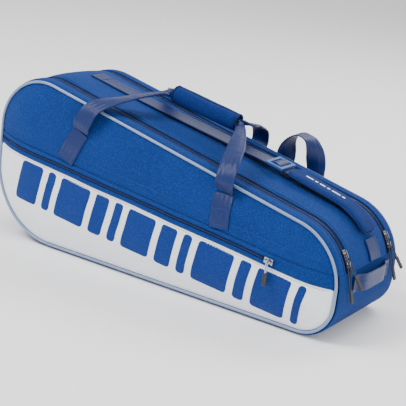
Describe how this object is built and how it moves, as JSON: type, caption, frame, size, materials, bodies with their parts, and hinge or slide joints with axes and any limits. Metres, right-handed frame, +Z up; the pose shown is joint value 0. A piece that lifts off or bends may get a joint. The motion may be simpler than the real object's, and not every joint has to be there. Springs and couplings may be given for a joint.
{
  "type": "racket tournament bag",
  "caption": "Tapered padded shoulder bag for rackets with two zipped clamshell compartments, a front pocket, carry handles and padded straps.",
  "frame": {"origin": "on the flat base, midway between the two covers, under the middle of the carry handles", "axes": "+X towards the narrow racket-handle end, -Y towards the front with the pocket, +Z up"},
  "size_m": [0.793, 0.3267, 0.3487],
  "materials": {
    "blue_polyester": "matt woven polyester",
    "white_panel": "smooth coated fabric",
    "piping": "soft satin piping",
    "zip_tape": "knitted tape with nylon coil",
    "nickel": "nickel plated",
    "pull_rubber": "matt moulded",
    "pull_cord": "braided cord",
    "buckle_plastic": "satin moulded",
    "pad_cloth": "matt woven polyester over foam",
    "grip_cloth": "matt woven polyester over foam",
    "webbing": "shiny seat-belt weave",
    "lining": "thin plain weave lining"
  },
  "bodies": {
    "bag_body": {"base_gusset": "blue_polyester", "spine_gusset": "blue_polyester", "divider_panel": "lining", "front_zip_inner_tape": "zip_tape", "back_zip_inner_tape": "zip_tape", "strap_left_anchor": "webbing", "strap_right_anchor": "webbing", "end_grab_handle": "webbing"},
    "front_cover": {"front_zip_outer_tape": "zip_tape", "front_top_strip": "blue_polyester", "front_piping": "piping", "front_pocket_back": "lining", "front_upper_panel": "blue_polyester", "front_lower_panel": "white_panel", "front_pocket_zip": "zip_tape", "front_handle_sewn_ends": "webbing"},
    "back_cover": {"back_zip_outer_tape": "zip_tape", "back_top_strip": "blue_polyester", "back_piping": "piping", "back_upper_panel": "blue_polyester", "back_lower_panel": "white_panel", "back_seam_band": "blue_polyester", "back_handle_sewn_ends": "webbing"},
    "front_handle": {"front_handle_webbing": "webbing", "front_handle_wrap": "grip_cloth", "front_handle_strand": "webbing"},
    "back_handle": {"back_handle_webbing": "webbing", "back_handle_wrap": "grip_cloth", "back_handle_strand": "webbing"},
    "top_strap_webbing": {"strap_webbing": "webbing"},
    "top_strap_buckle": {"strap_buckle": "buckle_plastic"},
    "top_strap_pad": {"strap_pad": "pad_cloth"},
    "rear_strap": {"rear_strap_webbing": "webbing", "rear_strap_pad": "pad_cloth"},
    "pocket_slider": {"pocket_zip_slider": "nickel"},
    "pocket_pull": {"pocket_pull_cord": "pull_cord", "pocket_pull_tab": "pull_rubber"},
    "front_slider_upper": {"front_zip_slider_upper": "nickel"},
    "front_pull_upper": {"front_upper_pull_cord": "pull_cord", "front_upper_pull_tab": "pull_rubber"},
    "front_slider_lower": {"front_zip_slider_lower": "nickel"},
    "front_pull_lower": {"front_lower_pull_cord": "pull_cord", "front_lower_pull_tab": "pull_rubber"},
    "back_slider_upper": {"back_zip_slider_upper": "nickel"},
    "back_pull_upper": {"back_upper_pull_cord": "pull_cord", "back_upper_pull_tab": "pull_rubber"},
    "back_slider_lower": {"back_zip_slider_lower": "nickel"},
    "back_pull_lower": {"back_lower_pull_cord": "pull_cord", "back_lower_pull_tab": "pull_rubber"}
  },
  "joints": [
    {"name": "front_cover_open", "type": "hinge", "parent": "bag_body", "child": "front_cover", "pos_m": [0, -0.118, 0.004], "axis": [1, 0, 0], "range_deg": [0, 30]},
    {"name": "back_cover_open", "type": "hinge", "parent": "bag_body", "child": "back_cover", "pos_m": [0, 0.118, 0.004], "axis": [-1, 0, 0], "range_deg": [0, 30]},
    {"name": "front_handle_swing", "type": "hinge", "parent": "front_cover", "child": "front_handle", "pos_m": [-0.173, -0.1445, 0.253], "axis": [0.9919, 0.0382, -0.1208], "range_deg": [0, 120]},
    {"name": "back_handle_swing", "type": "hinge", "parent": "back_cover", "child": "back_handle", "pos_m": [-0.173, 0.1445, 0.253], "axis": [-0.996, 0.0469, 0.0759], "range_deg": [0, 120]},
    {"name": "top_strap_lift", "type": "hinge", "parent": "bag_body", "child": "top_strap_webbing", "pos_m": [-0.236, 0.012, 0.31949], "axis": [0, -1, 0], "range_deg": [0, 3]},
    {"name": "strap_pad_lift", "type": "hinge", "parent": "bag_body", "child": "top_strap_pad", "pos_m": [0.35884, 0.012, 0.16301], "axis": [0, 1, 0], "range_deg": [0, 6.7]},
    {"name": "strap_buckle_slide", "type": "slide", "parent": "top_strap_webbing", "child": "top_strap_buckle", "axis": [-0.9773, 0, 0.2117], "range_m": [0, 0.03]},
    {"name": "rear_strap_slack", "type": "slide", "parent": "back_cover", "child": "rear_strap", "axis": [0, 1, 0], "range_m": [0, 0.06]},
    {"name": "pocket_zip_run", "type": "slide", "parent": "front_cover", "child": "pocket_slider", "axis": [-0.9938, 0, 0.1115], "range_m": [0, 0.5]},
    {"name": "pocket_pull_swing", "type": "hinge", "parent": "pocket_slider", "child": "pocket_pull", "pos_m": [0.252, -0.1532, 0.12273], "axis": [-0.9938, 0, 0.1115], "range_deg": [0, 120]},
    {"name": "front_zip_upper_run", "type": "hinge", "parent": "bag_body", "child": "front_slider_upper", "pos_m": [0.265, -0.085, 0.0923], "axis": [0, -1, 0], "range_deg": [0, 45]},
    {"name": "front_upper_pull_swing", "type": "hinge", "parent": "front_slider_upper", "child": "front_pull_upper", "pos_m": [0.36227, -0.085, 0.15308], "axis": [0, -1, 0], "range_deg": [0, 120]},
    {"name": "front_zip_lower_run", "type": "hinge", "parent": "bag_body", "child": "front_slider_lower", "pos_m": [0.265, -0.085, 0.0923], "axis": [0, -1, 0], "range_deg": [-1.8, 0]},
    {"name": "front_lower_pull_swing", "type": "hinge", "parent": "front_slider_lower", "child": "front_pull_lower", "pos_m": [0.37097, -0.085, 0.13619], "axis": [-0.0262, -0.9962, 0.0831], "range_deg": [0, 120]},
    {"name": "back_zip_upper_run", "type": "hinge", "parent": "bag_body", "child": "back_slider_upper", "pos_m": [0.265, 0.085, 0.0923], "axis": [0, -1, 0], "range_deg": [0, 45]},
    {"name": "back_upper_pull_swing", "type": "hinge", "parent": "back_slider_upper", "child": "back_pull_upper", "pos_m": [0.36227, 0.085, 0.15308], "axis": [0, -1, 0], "range_deg": [0, 120]},
    {"name": "back_zip_lower_run", "type": "hinge", "parent": "bag_body", "child": "back_slider_lower", "pos_m": [0.265, 0.085, 0.0923], "axis": [0, -1, 0], "range_deg": [-1.8, 0]},
    {"name": "back_lower_pull_swing", "type": "hinge", "parent": "back_slider_lower", "child": "back_pull_lower", "pos_m": [0.37097, 0.085, 0.13619], "axis": [0.0262, -0.9962, -0.0831], "range_deg": [0, 120]}
  ],
  "couplings": [
    {"joint": "strap_pad_lift", "follows": "top_strap_lift", "ratio": 2.2},
    {"joint": "front_lower_pull_swing", "follows": "front_upper_pull_swing", "ratio": 1},
    {"joint": "back_lower_pull_swing", "follows": "back_upper_pull_swing", "ratio": 1}
  ]
}
